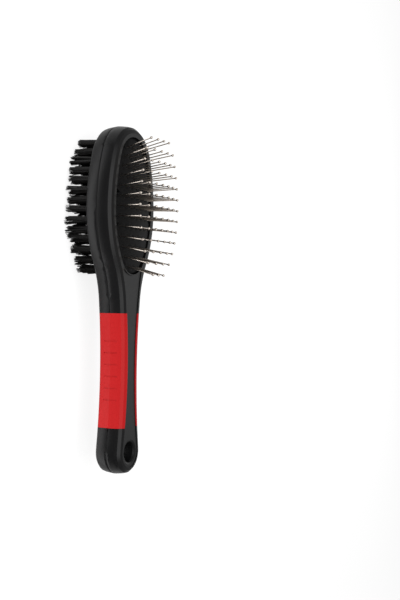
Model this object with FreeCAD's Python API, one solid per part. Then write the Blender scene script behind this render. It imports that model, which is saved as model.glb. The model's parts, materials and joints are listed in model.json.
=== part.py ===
import FreeCAD, Part
import math
import os

# A double-sided grooming brush, in millimetres.
# +X runs from the handle to the head, +Y is the width, +Z is the pin side.
# It lies on its bristle tips, so z = 0 is the plane that the tufts are trimmed to.
# Stations run along the brush from the end of the handle, heights run from the seam.

# Outline of the body at the seam, a chain of tangent arcs
LENGTH = 220.5
HEAD_WIDTH = 60.0
HEAD_REACH = 53.0
HEAD_RADIUS = 72.0
CROWN_FLAT = 5.0
SHOULDER_RADIUS = 60.0
WAIST_WIDTH = 21.4
END_RADIUS = 14.3

# Moulded half shells
SHELL_DEPTH = 9.5
SHELL_WALL = 2.2
SHELL_DRAFT = 1.1
RIM_RADIUS = 4.4
RIM_STEPS = 3
PANEL_BAND = 4.6
PANEL_WAIST = 9.8
PANEL_DEPTH = 0.5

# Opening for the pad, the same on both sides
PAD_RIM = 7.4
PAD_LENGTH = 86.6
PAD_LIP = 0.9
FLANGE = 2.6
FIT_GAP = 0.3

# Hang hole through the end of the handle
HANG_HOLE = 12.5
HANG_ROUND = 1.6
HANG_STEPS = 2
HANG_WALL = 2.0

# Pegs and sockets that line the halves up
PEG = 4.0
PEG_LENGTH = 3.2
PEG_OFFSET = 4.5
SOCKET_WALL = 1.4
SOCKET_GAP = 0.15

# Soft grip inserts
GRIP_START = 30.0
GRIP_TO_PAD = 24.6
GRIP_DEPTH = 1.0
RIB_COUNT = 6
RIB_PITCH = 7.4
RIB_WIDTH = 0.7
RIB_DEPTH = 0.3
RIB_HEIGHT = 4.6

# Rubber cushion and the tray that clamps it
CUSHION_CROWN = 1.4
CUSHION_WALL = 1.8
CUSHION_FLANGE = 1.6
DOME_LONG_RADIUS = 440.0
DOME_CROSS_RADIUS = 120.0
TRAY_FLOOR = 1.6
TRAY_WALL = 2.4

# Wire pins, each with a ball tip and a head under the cushion
PIN_WIRE = 0.9
PIN_BALL = 1.8
PIN_HEAD = 2.2
PIN_HEAD_HEIGHT = 0.7
PIN_EXPOSED = 20.0
PIN_COLUMNS = 7
PIN_ROWS = 13
PIN_SIDE_MARGIN = 4.1
PIN_NEAR_MARGIN = 4.6
PIN_FAR_MARGIN = 7.4
PIN_TILT_ALONG = 17.0
PIN_TILT_ACROSS = 23.0
PIN_GAP = 0.06

# Bristle block and its tufts
BLOCK_RECESS = 0.5
BLOCK_FLOOR = 5.6
TUFT_ROOT = 3.0
TUFT_TIP = 4.2
TUFT_EXPOSED = 19.4
TUFT_HOLE = 4.0
TUFT_COLUMNS = 7
TUFT_ROWS = 14
TUFT_SIDE_MARGIN = 4.4
TUFT_END_MARGIN = 3.1
TUFT_GAP = 0.1
CLOSEST = 0.85
SIDES = 6

# Places that follow from the sizes above
SEAM_Z = SHELL_DEPTH - BLOCK_RECESS + TUFT_EXPOSED
FACE_INSIDE = SHELL_DEPTH - SHELL_WALL
HEAD_AT = LENGTH - HEAD_REACH
CROWN_RADIUS = HEAD_WIDTH / 2 - CROWN_FLAT
PAD_END = LENGTH - PAD_RIM
PAD_START = PAD_END - PAD_LENGTH
PAD_AT = (PAD_START + PAD_END) / 2
PAD_WIDTH = HEAD_WIDTH - 2 * PAD_RIM
GRIP_END = PAD_START - GRIP_TO_PAD
WAIST_AT = (GRIP_START + GRIP_END) / 2
UP = FreeCAD.Vector(0, 0, 1)
X_AXIS = FreeCAD.Vector(1, 0, 0)
ORIGIN = FreeCAD.Vector(0, 0, 0)


def place(station, width, height=0.0):
    """A point at a station along the brush, width to the side and height above the seam."""
    return FreeCAD.Vector(station - LENGTH / 2, width, height)


def toward(start, end, distance):
    """The plan point at a distance from start on the line to end."""
    share = distance / math.dist(start, end)
    return (start[0] + (end[0] - start[0]) * share, start[1] + (end[1] - start[1]) * share)


def circles_meet(first, first_radius, second, second_radius):
    """Where two circles cross, on the side nearer the handle."""
    span = math.dist(first, second)
    along = (first_radius ** 2 - second_radius ** 2 + span ** 2) / (2 * span)
    across = math.sqrt(first_radius ** 2 - along ** 2)
    foot = toward(first, second, along)
    step = (second[0] - first[0], second[1] - first[1])
    return (foot[0] + across * step[1] / span, foot[1] - across * step[0] / span)


# Circles of the outline, each a plan centre and a radius
END_CENTRE = (END_RADIUS, 0.0)
WAIST_RADIUS = (((WAIST_AT - END_RADIUS) ** 2 + (WAIST_WIDTH / 2) ** 2 - END_RADIUS ** 2)
                / (2 * END_RADIUS - WAIST_WIDTH))
WAIST_CENTRE = (WAIST_AT, WAIST_WIDTH / 2 + WAIST_RADIUS)
HEAD_CENTRE = (HEAD_AT, HEAD_WIDTH / 2 - HEAD_RADIUS)
SHOULDER_CENTRE = circles_meet(WAIST_CENTRE, WAIST_RADIUS - SHOULDER_RADIUS,
                               HEAD_CENTRE, HEAD_RADIUS + SHOULDER_RADIUS)
CROWN_CENTRE = (LENGTH - CROWN_RADIUS, 0.0)
FRONT_RADIUS = (((CROWN_CENTRE[0] - HEAD_AT) ** 2 + (HEAD_WIDTH / 2) ** 2 - CROWN_RADIUS ** 2)
                / (2 * CROWN_FLAT))
FRONT_CENTRE = (HEAD_AT, HEAD_WIDTH / 2 - FRONT_RADIUS)
PAD_SIDE = HEAD_RADIUS - PAD_RIM
CUP_REACH = HEAD_AT - PAD_START
CUP_RADIUS = (PAD_SIDE ** 2 - CUP_REACH ** 2 - HEAD_CENTRE[1] ** 2) / (2 * (PAD_SIDE - CUP_REACH))
CUP_CENTRE = (PAD_START + CUP_RADIUS, 0.0)


def arc_chain(circles, joints, height):
    """A closed wire of arcs on circles (centre, radius), from joint to joint, on both sides."""
    spans = []
    for (centre, radius), start, end in zip(circles, joints, joints[1:]):
        chord = ((start[0] + end[0]) / 2, (start[1] + end[1]) / 2)
        spans.append((start, toward(centre, chord, radius), end))
    edges = []
    for span in spans:
        edges.append(Part.Arc(*(place(x, y, height) for x, y in span)).toShape())
    for span in reversed(spans):
        edges.append(Part.Arc(*(place(x, -y, height) for x, y in reversed(span))).toShape())
    return Part.Wire(edges)


def body_outline(inset=0.0, height=0.0):
    """The outline of the body, moved in by an inset."""
    circles = (
        (END_CENTRE, END_RADIUS - inset),
        (WAIST_CENTRE, WAIST_RADIUS + inset),
        (SHOULDER_CENTRE, SHOULDER_RADIUS + inset),
        (HEAD_CENTRE, HEAD_RADIUS - inset),
        (FRONT_CENTRE, FRONT_RADIUS - inset),
        (CROWN_CENTRE, CROWN_RADIUS - inset),
    )
    joints = (
        (inset, 0.0),
        toward(END_CENTRE, WAIST_CENTRE, END_RADIUS - inset),
        toward(WAIST_CENTRE, SHOULDER_CENTRE, WAIST_RADIUS + inset),
        toward(HEAD_CENTRE, SHOULDER_CENTRE, HEAD_RADIUS - inset),
        (HEAD_AT, HEAD_WIDTH / 2 - inset),
        toward(FRONT_CENTRE, CROWN_CENTRE, FRONT_RADIUS - inset),
        (LENGTH - inset, 0.0),
    )
    return arc_chain(circles, joints, height)


def pad_circles(inset):
    """The circles of the pad opening, moved in by an inset, each with the station where it ends."""
    front = PAD_RIM + inset
    return (
        (CUP_CENTRE, CUP_RADIUS - inset, toward(HEAD_CENTRE, CUP_CENTRE, PAD_SIDE - inset)),
        (HEAD_CENTRE, PAD_SIDE - inset, (HEAD_AT, PAD_WIDTH / 2 - inset)),
        (FRONT_CENTRE, FRONT_RADIUS - front, toward(FRONT_CENTRE, CROWN_CENTRE, FRONT_RADIUS - front)),
        (CROWN_CENTRE, CROWN_RADIUS - front, (PAD_END - inset, 0.0)),
    )


def pad_outline(inset=0.0, height=0.0):
    """The outline of the pad opening, moved in by an inset, or out if it is negative."""
    circles = pad_circles(inset)
    joints = [(PAD_START + inset, 0.0)] + [end for centre, radius, end in circles]
    return arc_chain([(centre, radius) for centre, radius, end in circles], joints, height)


def pad_half_width(station, inset):
    """Half the width of the pad opening at a station, moved in by an inset."""
    for centre, radius, end in pad_circles(inset):
        if station <= end[0]:
            return centre[1] + math.sqrt(max(radius ** 2 - (station - centre[0]) ** 2, 0.0))
    return 0.0


def prism(wire, height):
    """A solid that stands up from a flat wire."""
    return Part.Face(wire).extrude(UP * height)


def slab(start, end, low, high, bottom, top):
    """A box between two stations, two widths and two heights."""
    return Part.makeBox(end - start, high - low, top - bottom, place(start, low, bottom))


def lean(height):
    """How far the draft of the mould brings the wall in at a height."""
    return SHELL_DRAFT * height / SHELL_DEPTH


def body_block(inset=0.0):
    """One half of the body as a solid with its rolled rim, smaller all over by an inset."""
    top = SHELL_DEPTH - inset
    radius = RIM_RADIUS - inset
    base = top - radius
    sections = [body_outline(inset), body_outline(inset + lean(base), base)]
    for step in range(1, RIM_STEPS + 1):
        angle = math.pi / 2 * step / RIM_STEPS
        inward = inset + lean(base) + radius * (1 - math.cos(angle))
        sections.append(body_outline(inward, base + radius * math.sin(angle)))
    return Part.makeLoft(sections, True, True)


def panel_outline(height):
    """The outline of the handle's flat face, from the end of the handle to under the pad."""
    end_joint = toward(END_CENTRE, WAIST_CENTRE, END_RADIUS - PANEL_BAND)
    far = CUP_CENTRE[0]
    far_width = WAIST_CENTRE[1] - math.sqrt((WAIST_RADIUS + PANEL_BAND) ** 2 - (far - WAIST_AT) ** 2)
    edges = [Part.Arc(place(*end_joint, height), place(PANEL_BAND, 0.0, height),
                      place(end_joint[0], -end_joint[1], height)).toShape()]
    for side in (1, -1):
        points = (end_joint, (WAIST_AT, PANEL_WAIST / 2), (far, far_width))
        edges.append(Part.Arc(*(place(x, side * y, height) for x, y in points)).toShape())
    edges.append(Part.makeLine(place(far, far_width, height), place(far, -far_width, height)))
    return Part.Wire(Part.__sortEdges__(edges))


def panel_recess():
    """The shallow recess that leaves a crease round the handle's flat face."""
    recess = prism(panel_outline(SHELL_DEPTH - PANEL_DEPTH), PANEL_DEPTH * 2)
    return recess.cut(prism(pad_outline(-PAD_LIP), SHELL_DEPTH * 2))


def grip_zone(side):
    """The seat of one grip insert, from the seam up to the crease of the flat face."""
    low, high = sorted((0.0, side * HEAD_WIDTH))
    zone = slab(GRIP_START, GRIP_END, low, high, 0.0, SHELL_DEPTH)
    zone = zone.common(body_block())
    zone = zone.cut(prism(panel_outline(0.0), SHELL_DEPTH * 2))
    return zone.cut(body_block(GRIP_DEPTH))


def grip_insert(side):
    """One soft insert, with shallow ribs cut across its edge at the seam."""
    insert = grip_zone(side)
    core = body_block(RIB_DEPTH)
    for index in range(RIB_COUNT):
        middle = WAIST_AT + (index - (RIB_COUNT - 1) / 2) * RIB_PITCH
        groove = slab(middle - RIB_WIDTH / 2, middle + RIB_WIDTH / 2, -HEAD_WIDTH, HEAD_WIDTH, 0.0, RIB_HEIGHT)
        insert = insert.cut(groove.cut(core))
    return insert


def peg_places():
    """The plan points of the pegs, one at each end of the grips."""
    return (place(GRIP_START + PEG_OFFSET, 0.0), place(GRIP_END - PEG_OFFSET, 0.0))


def half_shell(has_pegs):
    """One half shell on the seam, with its face up, and pegs or sockets for the other half."""
    lean_inside = lean(FACE_INSIDE)
    hollow = Part.makeLoft([body_outline(SHELL_WALL), body_outline(SHELL_WALL + lean_inside, FACE_INSIDE)],
                           True, True)
    hang_at = place(*END_CENTRE)
    hollow = hollow.cut(Part.makeCylinder(HANG_HOLE / 2 + HANG_WALL, FACE_INSIDE, hang_at))
    post = PEG / 2 if has_pegs else PEG / 2 + SOCKET_GAP + SOCKET_WALL
    for spot in peg_places():
        hollow = hollow.cut(Part.makeCylinder(post, FACE_INSIDE, spot))
    shell = body_block().cut(hollow)
    shell = shell.cut(panel_recess())
    shell = shell.cut(prism(pad_outline(), SHELL_DEPTH * 2))
    for side in (1, -1):
        shell = shell.cut(grip_zone(side))
    shell = shell.cut(hang_bore(hang_at))
    for spot in peg_places():
        if has_pegs:
            length = PEG_LENGTH + FACE_INSIDE
            shell = shell.fuse(Part.makeCylinder(PEG / 2, length, spot - UP * PEG_LENGTH))
        else:
            depth = PEG_LENGTH + SOCKET_GAP * 2
            shell = shell.cut(Part.makeCylinder(PEG / 2 + SOCKET_GAP, depth, spot))
    return shell.removeSplitter()


def hang_bore(spot):
    """The cutter of the hang hole, with a rounded mouth at the flat face."""
    face = SHELL_DEPTH - PANEL_DEPTH
    radius = HANG_HOLE / 2
    profile = [(0.0, 0.0), (radius, 0.0)]
    for step in range(HANG_STEPS + 1):
        angle = math.pi / 2 * step / HANG_STEPS
        profile.append((radius + HANG_ROUND * (1 - math.cos(angle)), face - HANG_ROUND * (1 - math.sin(angle))))
    profile += [(radius + HANG_ROUND, SHELL_DEPTH), (0.0, SHELL_DEPTH), (0.0, 0.0)]
    corners = [FreeCAD.Vector(x, 0, z) for x, z in profile]
    cutter = Part.Face(Part.makePolygon(corners)).revolve(ORIGIN, UP, 360)
    cutter.translate(spot)
    return cutter


def cup(floor_low, floor_high, wall_top):
    """An oval cup that fits behind the pad opening, with its wall up to a height."""
    outer = prism(pad_outline(-FLANGE, floor_low), wall_top - floor_low)
    inner = prism(pad_outline(TRAY_WALL - FLANGE, floor_high), wall_top - floor_high)
    return outer.cut(inner)


def cushion_tray():
    """The tray behind the cushion, from the seam up to the cushion's flange."""
    return cup(0.0, TRAY_FLOOR, FACE_INSIDE - CUSHION_FLANGE)


def dome(drop):
    """A large ring whose outer top is the crowned face of the cushion, moved down by a drop."""
    major = DOME_LONG_RADIUS - DOME_CROSS_RADIUS
    centre = place(PAD_AT, 0.0, SHELL_DEPTH + CUSHION_CROWN - DOME_LONG_RADIUS - drop)
    return Part.makeTorus(major, DOME_CROSS_RADIUS, centre, FreeCAD.Vector(0, 1, 0))


def dome_height(station, width):
    """The height of the cushion's outer face at a plan point."""
    reach = DOME_LONG_RADIUS - DOME_CROSS_RADIUS + math.sqrt(DOME_CROSS_RADIUS ** 2 - width ** 2)
    rise = math.sqrt(reach ** 2 - (station - PAD_AT) ** 2)
    return SHELL_DEPTH + CUSHION_CROWN - DOME_LONG_RADIUS + rise


def pin_cushion(pins):
    """The rubber cushion, a flanged dome with a hole for each pin."""
    low = FACE_INSIDE - CUSHION_FLANGE
    flange = prism(pad_outline(-FLANGE, low), CUSHION_FLANGE)
    crown = prism(pad_outline(FIT_GAP, low), SHELL_DEPTH * 2).common(dome(0.0))
    hollow = prism(pad_outline(FIT_GAP + CUSHION_WALL, low), SHELL_DEPTH * 2).common(dome(CUSHION_WALL))
    cushion = flange.fuse(crown).cut(hollow)
    radius = PIN_WIRE / 2 + PIN_GAP
    holes = [spike(station, width, ((radius, -SHELL_DEPTH), (radius, SHELL_DEPTH)))
             for station, width in pins]
    return cushion.cut(Part.makeCompound(holes))


def ring(radius, height):
    """The corners of a small regular polygon round the Z axis."""
    angles = [2 * math.pi * index / SIDES for index in range(SIDES)]
    return [FreeCAD.Vector(radius * math.cos(a), radius * math.sin(a), height) for a in angles]


def flat_face(corners):
    """A flat face through its corners."""
    return Part.Face(Part.makePolygon(corners + corners[:1]))


def turned(profile):
    """A many-sided solid through (radius, height) pairs, for pieces that repeat many times."""
    rings = [ring(radius, height) for radius, height in profile]
    faces = [flat_face(rings[0]), flat_face(rings[-1])]
    for low, high in zip(rings, rings[1:]):
        for index in range(SIDES):
            after = (index + 1) % SIDES
            faces.append(flat_face([low[index], low[after], high[after], high[index]]))
    shell = Part.makeShell(faces)
    shell.sewShape()
    return Part.makeSolid(shell)


def spike(station, width, profile):
    """A turned piece that stands on the cushion's face and leans out with the dome."""
    piece = turned(profile)
    lean_x = math.tan(math.radians(PIN_TILT_ALONG * (station - PAD_AT) / (PAD_LENGTH / 2)))
    lean_y = math.tan(math.radians(PIN_TILT_ACROSS * width / (PAD_WIDTH / 2)))
    turn = FreeCAD.Rotation(UP, FreeCAD.Vector(lean_x, lean_y, 1.0))
    piece.Placement = FreeCAD.Placement(place(station, width, dome_height(station, width)), turn)
    return piece


def pin(station, width):
    """One steel pin with its ball tip and its head."""
    under = -CUSHION_WALL - PIN_GAP
    ball = PIN_BALL / 2
    return spike(station, width, (
        (PIN_HEAD / 2, under - PIN_HEAD_HEIGHT),
        (PIN_WIRE / 2, under),
        (PIN_WIRE / 2, PIN_EXPOSED - PIN_BALL),
        (ball, PIN_EXPOSED - ball),
        (ball / 2, PIN_EXPOSED),
    ))


def field_rows(rows, columns, side, near, far):
    """Rows of plan points that fill the pad, with a margin at the sides and one at each end."""
    pitch_x = (PAD_LENGTH - near - far) / (rows - 1)
    pitch_y = (PAD_WIDTH - 2 * side) / (columns - 1)
    field = []
    for row in range(rows):
        station = PAD_START + near + row * pitch_x
        room = pad_half_width(station, min(side, near))
        gaps = max(round(2 * room / pitch_y), 2)
        spread = max(2 * room / gaps, pitch_y * CLOSEST)
        field.append([(station, (index - gaps / 2) * spread) for index in range(gaps + 1)])
    return field


def face_down(shape):
    """Turns a shape that was made face up to the other side of the seam."""
    turned_shape = shape.copy()
    turned_shape.rotate(ORIGIN, X_AXIS, 180)
    return turned_shape


def bristle_block(spots):
    """The block that holds the tufts, made face up, with a blind hole for each tuft."""
    face = SHELL_DEPTH - BLOCK_RECESS
    floor = face - BLOCK_FLOOR
    block = prism(pad_outline(-FLANGE), FACE_INSIDE)
    block = block.cut(prism(pad_outline(TRAY_WALL - FLANGE), floor))
    block = block.fuse(prism(pad_outline(FIT_GAP, floor), BLOCK_FLOOR)).removeSplitter()
    holes = []
    for station, width in spots:
        hole = turned(((TUFT_ROOT / 2 + TUFT_GAP, face - TUFT_HOLE), (TUFT_ROOT / 2 + TUFT_GAP * 5, face + 1)))
        hole.translate(place(station, width))
        holes.append(hole)
    return block.cut(Part.makeCompound(holes))


def tuft(station, width):
    """One tuft of bristles, made face up, flared from its hole to the trimmed tip."""
    face = SHELL_DEPTH - BLOCK_RECESS
    piece = turned(((TUFT_ROOT / 2, face - TUFT_HOLE), (TUFT_TIP / 2, face + TUFT_EXPOSED)))
    piece.translate(place(station, width))
    return piece


def export(name, shape):
    """Writes one piece, lifted from the seam to its height above the ground."""
    lifted = shape.copy()
    lifted.translate(UP * SEAM_Z)
    lifted.exportStep("parts/" + name + ".step")
    print(name, "solids", len(lifted.Solids), "valid", lifted.isValid())


def main():
    os.makedirs("parts", exist_ok=True)
    export("pin_side_shell", half_shell(True))
    export("bristle_side_shell", face_down(half_shell(False)))
    for side, word in ((1, "left"), (-1, "right")):
        export("grip_pin_side_" + word, grip_insert(side))
        export("grip_bristle_side_" + word, face_down(grip_insert(-side)))
    pin_rows = field_rows(PIN_ROWS, PIN_COLUMNS, PIN_SIDE_MARGIN, PIN_NEAR_MARGIN, PIN_FAR_MARGIN)
    export("cushion_tray", cushion_tray())
    export("pin_cushion", pin_cushion([spot for row in pin_rows for spot in row]))
    for number, row in enumerate(pin_rows, 1):
        export("pin_row_%02d" % number, Part.makeCompound([pin(*spot) for spot in row]))
    tuft_rows = field_rows(TUFT_ROWS, TUFT_COLUMNS, TUFT_SIDE_MARGIN, TUFT_END_MARGIN, TUFT_END_MARGIN)
    export("bristle_block", face_down(bristle_block([spot for row in tuft_rows for spot in row])))
    for number, row in enumerate(tuft_rows, 1):
        export("tuft_row_%02d" % number, face_down(Part.makeCompound([tuft(*spot) for spot in row])))


main()
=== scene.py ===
import json
import math
import random

import bmesh
import bpy
import numpy as np
from mathutils import Matrix, Vector


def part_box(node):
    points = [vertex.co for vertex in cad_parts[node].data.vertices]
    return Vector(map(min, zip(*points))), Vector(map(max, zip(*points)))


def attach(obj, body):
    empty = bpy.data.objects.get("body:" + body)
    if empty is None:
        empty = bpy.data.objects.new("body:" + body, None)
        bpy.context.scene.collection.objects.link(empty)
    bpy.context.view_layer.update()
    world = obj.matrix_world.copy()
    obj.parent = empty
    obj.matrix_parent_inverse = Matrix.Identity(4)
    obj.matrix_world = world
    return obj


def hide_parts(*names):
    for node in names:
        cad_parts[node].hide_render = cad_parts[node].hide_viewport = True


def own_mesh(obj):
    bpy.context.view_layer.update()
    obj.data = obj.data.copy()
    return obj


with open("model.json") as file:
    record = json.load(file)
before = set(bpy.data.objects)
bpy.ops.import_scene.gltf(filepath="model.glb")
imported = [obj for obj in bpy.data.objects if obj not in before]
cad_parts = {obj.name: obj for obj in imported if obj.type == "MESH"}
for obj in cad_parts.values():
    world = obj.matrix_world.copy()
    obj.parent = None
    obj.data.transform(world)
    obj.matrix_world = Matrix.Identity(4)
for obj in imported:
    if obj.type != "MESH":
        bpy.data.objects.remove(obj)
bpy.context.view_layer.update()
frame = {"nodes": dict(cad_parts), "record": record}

# Lengths are in metres and bends in degrees, unless a name says otherwise

# Colours
PLASTIC = (0.0045, 0.0045, 0.0048)
RUBBER_RED = (0.41, 0.003, 0.004)
RUBBER_BLACK = (0.003, 0.003, 0.0032)
STEEL = (0.60, 0.54, 0.48)
NYLON = (0.0038, 0.0033, 0.0030)
FLOOR = (0.93, 0.93, 0.93)
BLACK = (0.0, 0.0, 0.0)

# Texture of the finishes
SMUDGE_SCALE = 60.0
GLOSS_SPREAD = 0.05
GRAIN_SCALE = 900.0
GRAIN_DEPTH = 0.0002

# Rounded edges of the moulded pieces
MERGE = 0.000002
FLAT_BEND = 0.5
SOFT_BEND = 12
SHARP_BEND = 42
SHARP_SHARE = 0.3
EDGE_ROUND = 0.0011
ROUND_STEPS = 4

# Seam groove round the outside of the two halves
SEAM_HALF = 0.00035
SEAM_DEPTH = 0.0008
WALL_LEAN = 0.5
SPINE_END = 0.014
SPINE_HEAD = 0.026

# Wire pins
WIRE = 0.00078
BALL = 0.0017
BALL_STEPS = 8
BALL_POLE = 0.12
HEAD = 0.0022
HEAD_HEIGHT = 0.0007
PIN_SIDES = 12

# Bristle filaments, with most shares taken of the radius of their tuft
SEED = 7
TUFT_SIDES = 6
ROOT_SHARE = 1.2
FILAMENTS = 120
FILAMENT = 0.00026
FILAMENT_SIDES = 3
FILAMENT_RINGS = 4
THINNEST = 0.8
THICKEST = 1.15
TAPER = 0.1
BOW = 0.10
FLARE = 2.25
SWAY = 0.60
CLUMPS = 3
CLUMP_REACH = 0.75
GATHER = 0.30
UNEVEN = 0.0014
STRAY = 0.0004

# Cushion
RINGS = 84
SPOKES = 420
SECTORS = 120
FLANGE_SHARE = 0.2
DIMPLE = 0.00045
DIMPLE_REACH = 0.0011
ROLL_FROM = 0.93
ROLL_DROP = 0.0006

# Floor
FLOOR_SIZE = 12.0
FLOOR_ROUGHNESS = 0.9
GLOW_POWER = 1.15
GLOW_SHARE = 0.7

# Dark card on the floor in front of the brush
CARD_NEAR = 0.057
CARD_DEPTH = 1.2
CARD_WIDTH = 2.4
CARD_LIFT = 0.0005

# Lights, of which the low strip lies on the floor and is turned with the card
SKY_POWER = 0.38
BACKDROP_POWER = 1.0
KEY_AT = (0.05, 0.52, 0.72)
KEY_SIZE = 1.10
KEY_POWER = 9.4
BACK_AT = (0.05, -0.70, 0.35)
BACK_SIZE = 0.5
BACK_POWER = 0.5
STRIP_AT = 0.045
STRIP_LIFT = 0.002
STRIP_WIDTH = 0.024
STRIP_LENGTH = 0.30
STRIP_POWER = 0.045
SKEW = math.radians(7.0)

# Camera
DISTANCE = 0.65
SIDE_ANGLE = 60.0
LEAN = 0.9
FOCAL_PIXELS = 1019.0
PICTURE = (400, 600)
TARGET_PIXEL_X = 119.6
SENSOR = 36.0

nodes = frame["nodes"]
slot_of = {part["node"]: part["material_slot"] for part in frame["record"]["subparts"]}
shell_low, shell_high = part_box("pin_side_shell")
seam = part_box("bristle_side_shell")[1].z


def blank(name):
    """A new material and its surface shader."""
    made = bpy.data.materials.new(name)
    made.use_nodes = True
    return made, made.node_tree.nodes["Principled BSDF"]


def material(name, colour, roughness, metallic=0.0, specular=0.5, grain=0.0):
    """A plain finish with a little uneven gloss and, if asked, a fine moulded grain."""
    made, shader = blank(name)
    tree = made.node_tree
    shader.inputs["Base Color"].default_value = (*colour, 1.0)
    shader.inputs["Metallic"].default_value = metallic
    shader.inputs["Specular IOR Level"].default_value = specular
    where = tree.nodes.new("ShaderNodeTexCoord")
    smudge = tree.nodes.new("ShaderNodeTexNoise")
    smudge.inputs["Scale"].default_value = SMUDGE_SCALE
    spread = tree.nodes.new("ShaderNodeMapRange")
    spread.inputs["To Min"].default_value = roughness - GLOSS_SPREAD
    spread.inputs["To Max"].default_value = roughness + GLOSS_SPREAD
    tree.links.new(where.outputs["Object"], smudge.inputs["Vector"])
    tree.links.new(smudge.outputs["Fac"], spread.inputs["Value"])
    tree.links.new(spread.outputs["Result"], shader.inputs["Roughness"])
    if grain:
        texture = tree.nodes.new("ShaderNodeTexNoise")
        texture.inputs["Scale"].default_value = GRAIN_SCALE
        bump = tree.nodes.new("ShaderNodeBump")
        bump.inputs["Strength"].default_value = grain
        bump.inputs["Distance"].default_value = GRAIN_DEPTH
        tree.links.new(where.outputs["Object"], texture.inputs["Vector"])
        tree.links.new(texture.outputs["Fac"], bump.inputs["Height"])
        tree.links.new(bump.outputs["Normal"], shader.inputs["Normal"])
    return made


finishes = {
    "body_plastic": material("black_satin_plastic", PLASTIC, roughness=0.37, specular=0.20, grain=0.10),
    "grip_rubber": material("red_rubber", RUBBER_RED, roughness=0.55, specular=0.20, grain=0.12),
    "cushion_rubber": material("black_rubber", RUBBER_BLACK, roughness=0.55, specular=0.08, grain=0.10),
    "inner_plastic": material("inner_plastic", PLASTIC, roughness=0.50),
    "pin_steel": material("pin_steel", STEEL, roughness=0.28, metallic=1.0),
    "bristle_nylon": material("black_nylon", NYLON, roughness=0.45, specular=0.4),
}


def place(name, data):
    """A new object in the scene."""
    made = bpy.data.objects.new(name, data)
    bpy.context.scene.collection.objects.link(made)
    return made


def add(name, points, faces, smooth=True):
    """A new mesh piece from points and faces."""
    mesh = bpy.data.meshes.new(name)
    mesh.from_pydata([tuple(point) for point in points], [], faces)
    if smooth:
        mesh.shade_smooth()
    return place(name, mesh)


def dress(piece, slot):
    """Gives a piece the finish of its slot."""
    piece.data.materials.clear()
    piece.data.materials.append(finishes[slot])


def stand_in(piece, node, body="body"):
    """Puts a look piece in the place of a CAD node, in the node's finish and on its body."""
    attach(piece, body)
    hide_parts(node)
    dress(piece, slot_of[node])


def welded(node):
    """The mesh of a CAD node with its split points joined again."""
    mesh = bmesh.new()
    mesh.from_mesh(nodes[node].data)
    bmesh.ops.remove_doubles(mesh, verts=mesh.verts, dist=MERGE)
    return mesh


def solids_of(node):
    """The points of each separate solid of a CAD node from low to high, solid by solid along the width."""
    mesh = welded(node)
    parts = []
    for start in mesh.verts:
        if start.tag:
            continue
        start.tag = True
        waiting = [start]
        part = []
        while waiting:
            point = waiting.pop()
            part.append(point.co.copy())
            for edge in point.link_edges:
                other = edge.other_vert(point)
                if not other.tag:
                    other.tag = True
                    waiting.append(other)
        parts.append(sorted(part, key=lambda co: co.z))
    mesh.free()
    return sorted(parts, key=lambda part: sum(co.y for co in part) / len(part))


def groove_seam(mesh):
    """Draws the outer edge at the seam in, so that the two halves leave a narrow groove."""
    for side in (1, -1):
        everything = mesh.verts[:] + mesh.edges[:] + mesh.faces[:]
        level = (0, 0, seam + side * SEAM_HALF)
        bmesh.ops.bisect_plane(mesh, geom=everything, dist=MERGE, plane_co=level, plane_no=(0, 0, 1))
    mesh.normal_update()
    moves = []
    for vertex in mesh.verts:
        if abs(vertex.co.z - seam) > MERGE:
            continue
        walls = [face for face in vertex.link_faces if abs(face.normal.z) < WALL_LEAN]
        outward = sum((face.normal * face.calc_area() for face in walls), Vector())
        outward.z = 0
        along = min(max(vertex.co.x, shell_low.x + SPINE_END), shell_high.x - SPINE_HEAD)
        spine = Vector((along, 0, seam))
        if outward.length > 0 and outward.dot(vertex.co - spine) > 0:
            moves.append((vertex, outward.normalized() * SEAM_DEPTH))
    for vertex, step in moves:
        vertex.co -= step


def moulded_copy(node, grooved=False):
    """A look copy of a CAD node with its edges rounded, the sharp ones less than the rest."""
    mesh = welded(node)
    bmesh.ops.dissolve_limit(mesh, angle_limit=math.radians(FLAT_BEND), verts=mesh.verts, edges=mesh.edges)
    if grooved:
        groove_seam(mesh)
    weight = mesh.edges.layers.float.new("bevel_weight_edge")
    for face in mesh.faces:
        face.smooth = True
    for edge in mesh.edges:
        if len(edge.link_faces) != 2:
            continue
        bend = math.degrees(edge.calc_face_angle(0.0))
        if all(abs(vertex.co.z - seam) < SEAM_HALF + MERGE for vertex in edge.verts):
            edge.smooth = bend < SOFT_BEND
        elif bend > SHARP_BEND:
            edge[weight] = SHARP_SHARE
        elif bend > SOFT_BEND:
            edge[weight] = 1.0
    data = bpy.data.meshes.new("look_" + node)
    mesh.to_mesh(data)
    mesh.free()
    piece = place("look_" + node, data)
    rounding = piece.modifiers.new("round", "BEVEL")
    rounding.limit_method = "WEIGHT"
    rounding.width = EDGE_ROUND
    rounding.segments = ROUND_STEPS
    rounding.use_clamp_overlap = True
    rounding.harden_normals = False
    normals = piece.modifiers.new("normals", "WEIGHTED_NORMAL")
    normals.keep_sharp = True
    stand_in(piece, node)


def band(low, high, sides, faces):
    """Adds the faces between two rings of points, each ring given by its first point."""
    for index in range(sides):
        after = (index + 1) % sides
        faces.append((low + index, low + after, high + after, high + index))


def lathe(profile, base, axis, sides, points, faces):
    """Adds a turned piece along an axis, from pairs of radius and distance."""
    turn = Vector((0, 0, 1)).rotation_difference(axis)
    first = len(points)
    for radius, distance in profile:
        for index in range(sides):
            angle = 2 * math.pi * index / sides
            local = Vector((radius * math.cos(angle), radius * math.sin(angle), distance))
            points.append(base + turn @ local)
    last = len(points) - sides
    for ring in range(first, last, sides):
        band(ring, ring + sides, sides, faces)
    faces.append(tuple(reversed(range(first, first + sides))))
    faces.append(tuple(range(last, last + sides)))


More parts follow.
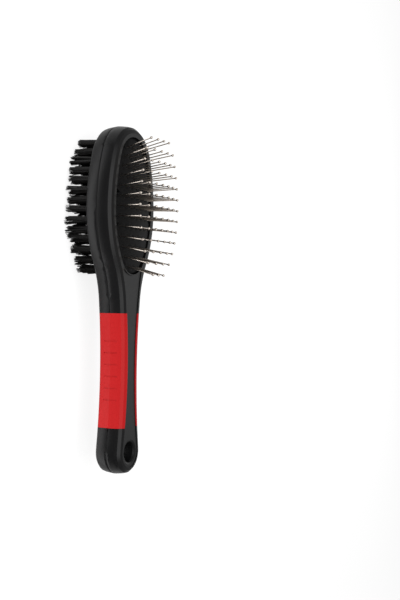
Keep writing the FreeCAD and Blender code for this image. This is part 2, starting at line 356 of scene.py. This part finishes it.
def pin_profile(length):
    """The wire with its head and its ball tip, as pairs of radius and distance."""
    radius = BALL / 2
    start = math.asin(WIRE / BALL)
    sweep = math.pi - start - BALL_POLE
    neck = length - radius - radius * math.cos(start)
    profile = [(HEAD / 2, 0.0), (HEAD / 2, HEAD_HEIGHT), (WIRE / 2, HEAD_HEIGHT),
               (WIRE / 2, HEAD_HEIGHT + WIRE / 2), (WIRE / 2, neck - WIRE / 2)]
    for step in range(BALL_STEPS + 1):
        angle = start + sweep * step / BALL_STEPS
        profile.append((radius * math.sin(angle), length - radius - radius * math.cos(angle)))
    return profile


def pin_ends(part):
    """The middles of a pin's two ends, on the line that all its points lie round."""
    corners = np.array([tuple(co) for co in part])
    middle = corners.mean(0)
    line = np.linalg.svd(corners - middle)[2][0]
    line = line * np.sign(line[2])
    reach = (corners - middle) @ line
    return Vector(middle + line * reach.min()), Vector(middle + line * reach.max())


def build_pins(node, ends):
    """A row of round wire pins in place of the many-sided ones."""
    points = []
    faces = []
    for base, tip in ends:
        axis = tip - base
        lathe(pin_profile(axis.length), base, axis, PIN_SIDES, points, faces)
    stand_in(add("look_" + node, points, faces), node, "pin_field")


def filament(root, tip, bow, radius, points, faces):
    """Adds one bristle as a thin rod, bowed to the side and tapered toward its end."""
    first = len(points)
    for ring in range(FILAMENT_RINGS):
        share = ring / (FILAMENT_RINGS - 1)
        middle = root.lerp(tip, share) + bow * math.sin(math.pi * share)
        size = radius * (1.0 - TAPER * share)
        for index in range(FILAMENT_SIDES):
            angle = 2 * math.pi * index / FILAMENT_SIDES
            points.append(middle + Vector((size * math.cos(angle), size * math.sin(angle), 0.0)))
    last = len(points) - FILAMENT_SIDES
    for low in range(first, last, FILAMENT_SIDES):
        high = low + FILAMENT_SIDES
        for index in range(FILAMENT_SIDES):
            after = (index + 1) % FILAMENT_SIDES
            faces.append((low + index, high + index, high + after, low + after))
    faces.append((first, first + 1, first + 2))
    faces.append((last, last + 2, last + 1))


def sideways(dice):
    """A random step in the plane."""
    return Vector((dice.uniform(-1, 1), dice.uniform(-1, 1), 0))


def build_tufts(node, dice):
    """A row of tufts made of loose filaments in clumps, each clump cut to its own height."""
    points = []
    faces = []
    for part in solids_of(node):
        tip = sum(part[:TUFT_SIDES], Vector()) / TUFT_SIDES
        root = sum(part[-TUFT_SIDES:], Vector()) / TUFT_SIDES
        room = max(abs(co.y - root.y) for co in part[-TUFT_SIDES:]) * ROOT_SHARE
        clumps = [sideways(dice) * room * CLUMP_REACH for _ in range(CLUMPS)]
        cuts = [dice.random() * UNEVEN for _ in range(CLUMPS)]
        sway = sideways(dice) * room * SWAY
        for _ in range(FILAMENTS):
            angle = dice.uniform(0, 2 * math.pi)
            away = room * math.sqrt(dice.random())
            offset = Vector((away * math.cos(angle), away * math.sin(angle), 0))
            nearest = min(range(CLUMPS), key=lambda number: (clumps[number] - offset).length)
            spread = (offset * (1 - GATHER) + clumps[nearest] * GATHER) * FLARE + sway
            end = tip + spread + Vector((0, 0, cuts[nearest] + dice.random() * STRAY))
            bow = sideways(dice) * room * BOW
            radius = FILAMENT / 2 * dice.uniform(THINNEST, THICKEST)
            filament(root + offset, end, bow, radius, points, faces)
    stand_in(add("look_" + node, points, faces, smooth=False), node)


def crown_outline(corners, low):
    """The middle of the cushion's crown and, at even angles, its outline's distance from there."""
    rim = np.array([(co.x, co.y) for co in corners if co.z > low])
    middle = (rim.min(0) + rim.max(0)) / 2
    flat = rim - middle
    angles = np.arctan2(flat[:, 1], flat[:, 0])
    reach = np.hypot(flat[:, 0], flat[:, 1])
    sectors = np.round((angles + math.pi) / (2 * math.pi) * SECTORS).astype(int) % SECTORS
    outer = []
    for sector in range(SECTORS):
        inside = sectors == sector
        if inside.any():
            farthest = np.argmax(np.where(inside, reach, 0))
            outer.append((angles[farthest], reach[farthest]))
    known = np.array(sorted(outer))
    wanted = np.linspace(-math.pi, math.pi, SPOKES, endpoint=False)
    return middle, wanted, np.interp(wanted, known[:, 0], known[:, 1], period=2 * math.pi)


def build_cushion(pins):
    """The rubber cushion as a crowned closed form that sinks a little round each pin."""
    mesh = welded("pin_cushion")
    corners = [vertex.co.copy() for vertex in mesh.verts]
    mesh.free()
    low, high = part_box("pin_cushion")
    flange_top = shell_high.z - (shell_high.z - low.z) * FLANGE_SHARE
    top = np.array([co for co in corners if co.z > flange_top])
    fit = np.column_stack([np.ones(len(top)), top[:, 0], top[:, 0] ** 2, top[:, 1] ** 2])
    upper = top[:, 2] > np.median(top[:, 2])
    terms = np.linalg.lstsq(fit[upper], top[upper][:, 2], rcond=None)[0]
    middle, angles, reach = crown_outline(corners, flange_top)
    shares = 1 - np.arange(RINGS) / RINGS
    x = middle[0] + np.outer(shares, reach * np.cos(angles))
    y = middle[1] + np.outer(shares, reach * np.sin(angles))
    z = terms[0] + terms[1] * x + terms[2] * x ** 2 + terms[3] * y ** 2
    for spot in pins:
        away = (x - spot.x) ** 2 + (y - spot.y) ** 2
        z -= DIMPLE * np.exp(-away / DIMPLE_REACH ** 2)
    roll = np.clip((shares - ROLL_FROM) / (1 - ROLL_FROM), 0, 1)[:, None]
    z -= roll ** 2 * ROLL_DROP
    points = list(zip(x.ravel(), y.ravel(), z.ravel()))
    faces = []
    for ring in range(RINGS - 1):
        band(ring * SPOKES, (ring + 1) * SPOKES, SPOKES, faces)
    faces.append(tuple(range((RINGS - 1) * SPOKES, RINGS * SPOKES)))
    skirt = len(points)
    points += [(point[0], point[1], low.z) for point in points[:SPOKES]]
    for index in range(SPOKES):
        after = (index + 1) % SPOKES
        faces.append((index, skirt + index, skirt + after, after))
    faces.append(tuple(reversed(range(skirt, skirt + SPOKES))))
    piece = add("look_pin_cushion", points, faces)
    stand_in(piece, "pin_cushion")
    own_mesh(piece)


# Finishes of every node, then the look pieces that stand in for some of them
for name, node in nodes.items():
    dress(node, slot_of[name])

moulded_copy("pin_side_shell", grooved=True)
moulded_copy("bristle_side_shell", grooved=True)
for name in sorted(nodes):
    if name.startswith("grip_"):
        moulded_copy(name)

cushion_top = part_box("pin_cushion")[1].z
spots = []
for name in sorted(nodes):
    if name.startswith("pin_row"):
        row = [pin_ends(part) for part in solids_of(name)]
        spots += [base.lerp(tip, (cushion_top - base.z) / (tip.z - base.z)) for base, tip in row]
        build_pins(name, row)
build_cushion(spots)
dice = random.Random(SEED)
for name in sorted(nodes):
    if name.startswith("tuft_row"):
        build_tufts(name, dice)

# Floor, brighter to the camera than to the brush and clear from below
bpy.ops.mesh.primitive_plane_add(size=FLOOR_SIZE, location=(0, 0, 0))
floor = bpy.context.object
floor.name = "floor"
sheet, paper = blank("white_floor")
tree = sheet.node_tree
paper.inputs["Base Color"].default_value = (*FLOOR, 1.0)
paper.inputs["Roughness"].default_value = FLOOR_ROUGHNESS
paper.inputs["Specular IOR Level"].default_value = 0.0
glow = tree.nodes.new("ShaderNodeEmission")
glow.inputs["Color"].default_value = (1.0, 1.0, 1.0, 1.0)
glow.inputs["Strength"].default_value = GLOW_POWER
seen = tree.nodes.new("ShaderNodeLightPath")
share = tree.nodes.new("ShaderNodeMath")
share.operation = "MULTIPLY"
share.inputs[1].default_value = GLOW_SHARE
mix = tree.nodes.new("ShaderNodeMixShader")
tree.links.new(seen.outputs["Is Camera Ray"], share.inputs[0])
tree.links.new(share.outputs["Value"], mix.inputs["Fac"])
tree.links.new(paper.outputs["BSDF"], mix.inputs[1])
tree.links.new(glow.outputs["Emission"], mix.inputs[2])
under = tree.nodes.new("ShaderNodeNewGeometry")
clear = tree.nodes.new("ShaderNodeBsdfTransparent")
from_below = tree.nodes.new("ShaderNodeMixShader")
tree.links.new(under.outputs["Backfacing"], from_below.inputs["Fac"])
tree.links.new(mix.outputs["Shader"], from_below.inputs[1])
tree.links.new(clear.outputs["BSDF"], from_below.inputs[2])
tree.links.new(from_below.outputs["Shader"], tree.nodes["Material Output"].inputs["Surface"])
floor.data.materials.append(sheet)

# The card, which only reflections see, keeps the upper wall darker than the lower
card_x = -CARD_DEPTH / 2 * math.sin(SKEW)
card_y = CARD_NEAR + CARD_DEPTH / 2 * math.cos(SKEW)
bpy.ops.mesh.primitive_plane_add(size=1.0, location=(card_x, card_y, CARD_LIFT))
card = bpy.context.object
card.name = "dark_card"
card.scale = (CARD_WIDTH, CARD_DEPTH, 1.0)
card.rotation_euler.z = SKEW
felt, matt = blank("black_card")
matt.inputs["Base Color"].default_value = (*BLACK, 1.0)
matt.inputs["Specular IOR Level"].default_value = 0.0
card.data.materials.append(felt)
card.visible_camera = False
card.visible_diffuse = False
card.visible_transmission = False
card.visible_shadow = False


def area_light(name, where, size, power):
    """A soft light in the shape of a rectangle."""
    lamp = bpy.data.lights.new(name, "AREA")
    lamp.shape = "RECTANGLE"
    lamp.size = size[0]
    lamp.size_y = size[1]
    lamp.energy = power
    holder = place(name, lamp)
    holder.location = where
    return holder


def toward(where, aim):
    """The turn of a light at one point that looks at another."""
    return (Vector(aim) - Vector(where)).to_track_quat("-Z", "Y").to_euler()


# Light, with a plain white backdrop to the camera
world = bpy.data.worlds.new("studio")
world.use_nodes = True
sky = world.node_tree
around = sky.nodes["Background"]
around.inputs["Color"].default_value = (1, 1, 1, 1)
around.inputs["Strength"].default_value = SKY_POWER
backdrop = sky.nodes.new("ShaderNodeBackground")
backdrop.inputs["Color"].default_value = (1, 1, 1, 1)
backdrop.inputs["Strength"].default_value = BACKDROP_POWER
ray = sky.nodes.new("ShaderNodeLightPath")
choice = sky.nodes.new("ShaderNodeMixShader")
sky.links.new(ray.outputs["Is Camera Ray"], choice.inputs["Fac"])
sky.links.new(around.outputs["Background"], choice.inputs[1])
sky.links.new(backdrop.outputs["Background"], choice.inputs[2])
sky.links.new(choice.outputs["Shader"], sky.nodes["World Output"].inputs["Surface"])
bpy.context.scene.world = world
key = area_light("key", KEY_AT, (KEY_SIZE, KEY_SIZE), KEY_POWER)
key.rotation_euler = toward(KEY_AT, (0, 0, 0))
back = area_light("back", BACK_AT, (BACK_SIZE, BACK_SIZE), BACK_POWER)
back.rotation_euler = toward(BACK_AT, (0, 0, seam))
strip = area_light("strip", (0, STRIP_AT, STRIP_LIFT), (STRIP_WIDTH, STRIP_LENGTH), STRIP_POWER)
strip.rotation_euler = (math.pi, 0, math.pi / 2 + SKEW)
strip.visible_camera = False

# Camera, turned so that the brush stands upright in the left half of the picture
angle = math.radians(SIDE_ANGLE)
tilt = math.radians(LEAN)
yaw = math.atan((PICTURE[0] / 2 - TARGET_PIXEL_X) / FOCAL_PIXELS)
toward_camera = Vector((0, math.sin(angle), math.cos(angle)))
plain_right = Vector((0, -math.cos(angle), math.sin(angle)))
plain_up = Vector((1, 0, 0))
right = plain_right * math.cos(tilt) + plain_up * math.sin(tilt)
up = plain_up * math.cos(tilt) - plain_right * math.sin(tilt)
forward = -toward_camera * math.cos(yaw) + right * math.sin(yaw)
right = right * math.cos(yaw) + toward_camera * math.sin(yaw)
turned = Matrix((right, up, -forward)).transposed().to_4x4()
lens = bpy.data.cameras.new("camera")
lens.lens = FOCAL_PIXELS * SENSOR / PICTURE[1]
lens.sensor_width = SENSOR
camera = place("camera", lens)
camera.matrix_world = Matrix.Translation(Vector((0, 0, seam)) + toward_camera * DISTANCE) @ turned

scene = bpy.context.scene
scene.camera = camera
scene.render.resolution_x = PICTURE[0]
scene.render.resolution_y = PICTURE[1]
scene.view_settings.view_transform = "Standard"
